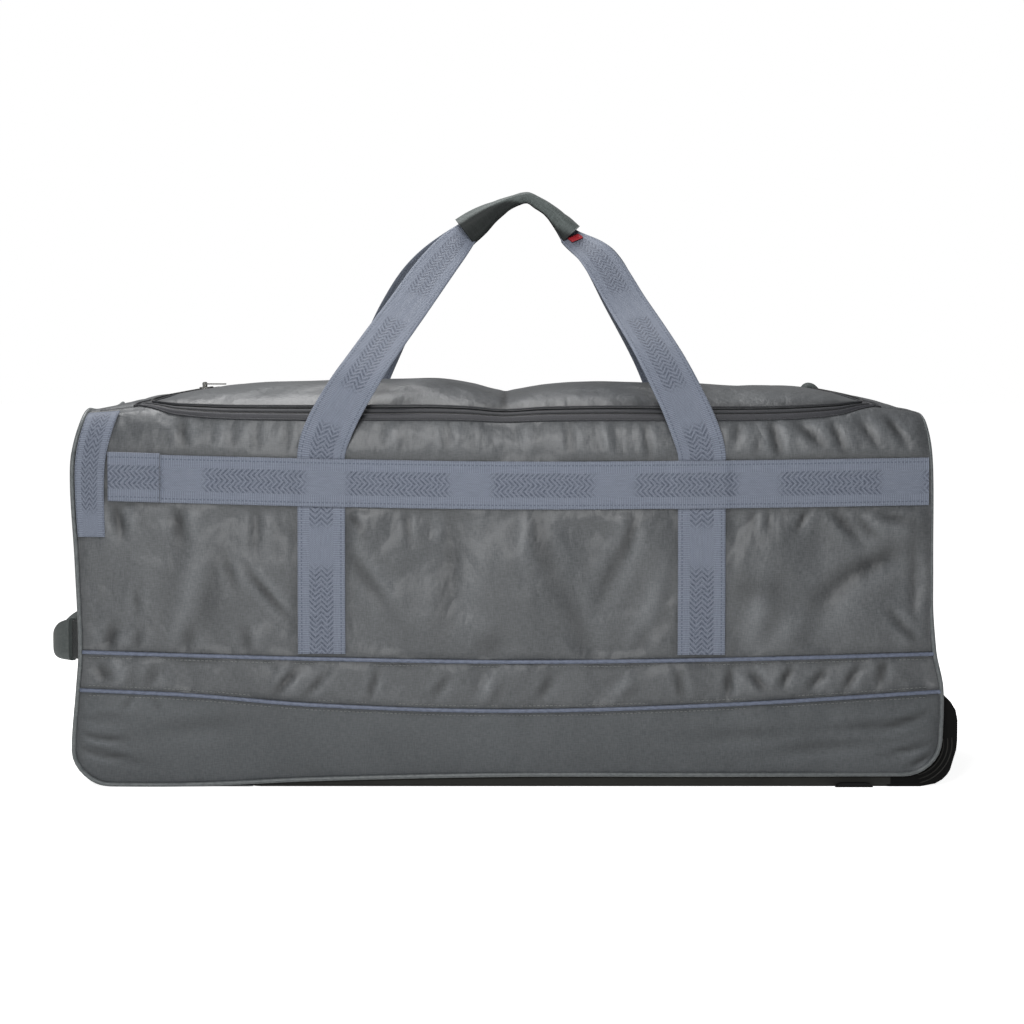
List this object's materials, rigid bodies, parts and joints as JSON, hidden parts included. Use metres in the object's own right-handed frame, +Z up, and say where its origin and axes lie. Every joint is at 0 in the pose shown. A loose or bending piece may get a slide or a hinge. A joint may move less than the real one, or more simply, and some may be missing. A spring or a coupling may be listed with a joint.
{
  "type": "hockey goalie bag",
  "caption": "Long soft wheeled kit bag with a zipped lid, blue-grey webbing handles under a wrap grip, piped cloth panels, a tow handle on one end and wheels at the other.",
  "frame": {"origin": "centre of the floor outline, at floor height", "axes": "+X along the length to the wheel end, +Y to the back, +Z up"},
  "size_m": [0.9736, 0.3834, 0.6289],
  "materials": {
    "front_upper_panel": "thin coated woven nylon, soft sheen",
    "front_band_panel": "thin coated woven nylon, soft sheen",
    "top_strip_left": "thin coated woven nylon, soft sheen",
    "top_strip_right": "thin coated woven nylon, soft sheen",
    "lid_panel": "thin coated woven nylon, soft sheen",
    "front_lower_panel": "heavy matte woven polyester",
    "back_panel": "heavy matte woven polyester",
    "left_end_panel": "heavy matte woven polyester",
    "right_end_panel": "heavy matte woven polyester",
    "edge_piping_front": "grey bound piping",
    "edge_piping_back": "grey bound piping",
    "edge_piping_top_left": "grey bound piping",
    "edge_piping_top_right": "grey bound piping",
    "accent_piping_upper": "blue-grey bound piping",
    "accent_piping_lower": "blue-grey bound piping",
    "accent_piping_end": "blue-grey bound piping",
    "belt_front": "woven herringbone webbing",
    "belt_tab": "woven herringbone webbing",
    "corner_patch": "woven herringbone webbing",
    "handle_front_left": "woven herringbone webbing",
    "handle_front_right": "woven herringbone webbing",
    "handle_back_left": "woven herringbone webbing",
    "handle_back_right": "woven herringbone webbing",
    "grip_wrap": "dark woven cloth over foam",
    "tow_handle_strap": "dark woven cloth over foam",
    "tow_handle_pad": "dark woven cloth over foam",
    "grip_tag": "plain woven tape",
    "base_panel": "grained black sheet",
    "right_kick_panel": "grained black sheet",
    "wheel_housing_front": "moulded black plastic",
    "wheel_housing_back": "moulded black plastic",
    "base_foot_front": "moulded black plastic",
    "base_foot_back": "moulded black plastic",
    "wheel_front": "moulded dark rubber",
    "wheel_back": "moulded dark rubber",
    "axle_front": "plain steel",
    "axle_back": "plain steel",
    "zip_tape_body": "dark woven zip tape",
    "zip_tape_lid": "dark woven zip tape",
    "zip_end_tab": "dark woven zip tape",
    "zip_slider": "bright nickel plate",
    "zip_pull": "bright nickel plate"
  },
  "bodies": {
    "bag": {"front_upper_panel": "front_upper_panel", "front_band_panel": "front_band_panel", "top_strip_left": "top_strip_left", "top_strip_right": "top_strip_right", "lid_panel": "lid_panel", "front_lower_panel": "front_lower_panel", "back_panel": "back_panel", "left_end_panel": "left_end_panel", "right_end_panel": "right_end_panel", "edge_piping_front": "edge_piping_front", "edge_piping_back": "edge_piping_back", "edge_piping_top_left": "edge_piping_top_left", "edge_piping_top_right": "edge_piping_top_right", "accent_piping_upper": "accent_piping_upper", "accent_piping_lower": "accent_piping_lower", "accent_piping_end": "accent_piping_end", "belt_front": "belt_front", "belt_tab": "belt_tab", "corner_patch": "corner_patch", "handle_front_left": "handle_front_left", "handle_front_right": "handle_front_right", "handle_back_left": "handle_back_left", "handle_back_right": "handle_back_right", "grip_wrap": "grip_wrap", "tow_handle_strap": "tow_handle_strap", "tow_handle_pad": "tow_handle_pad", "grip_tag": "grip_tag", "base_panel": "base_panel", "right_kick_panel": "right_kick_panel", "wheel_housing_front": "wheel_housing_front", "wheel_housing_back": "wheel_housing_back", "base_foot_front": "base_foot_front", "base_foot_back": "base_foot_back", "axle_front": "axle_front", "axle_back": "axle_back", "zip_tape_body": "zip_tape_body", "zip_tape_lid": "zip_tape_lid", "zip_end_tab": "zip_end_tab", "zip_slider": "zip_slider"},
    "wheel_front": {"wheel_front": "wheel_front"},
    "wheel_back": {"wheel_back": "wheel_back"},
    "zip_pull": {"zip_pull": "zip_pull"}
  },
  "joints": [
    {"name": "wheel_front_spin", "type": "hinge", "parent": "bag", "child": "wheel_front", "pos_m": [0.44978, -0.14907, 0.0288], "axis": [0, 1, 0], "continuous": true},
    {"name": "wheel_back_spin", "type": "hinge", "parent": "bag", "child": "wheel_back", "pos_m": [0.44978, 0.15093, 0.0288], "axis": [0, 1, 0], "continuous": true},
    {"name": "zip_pull_swing", "type": "hinge", "parent": "bag", "child": "zip_pull", "pos_m": [-0.32322, 0.04039, 0.41924], "axis": [-0.1903, -0.9817, 0], "range_deg": [0, 165]}
  ]
}
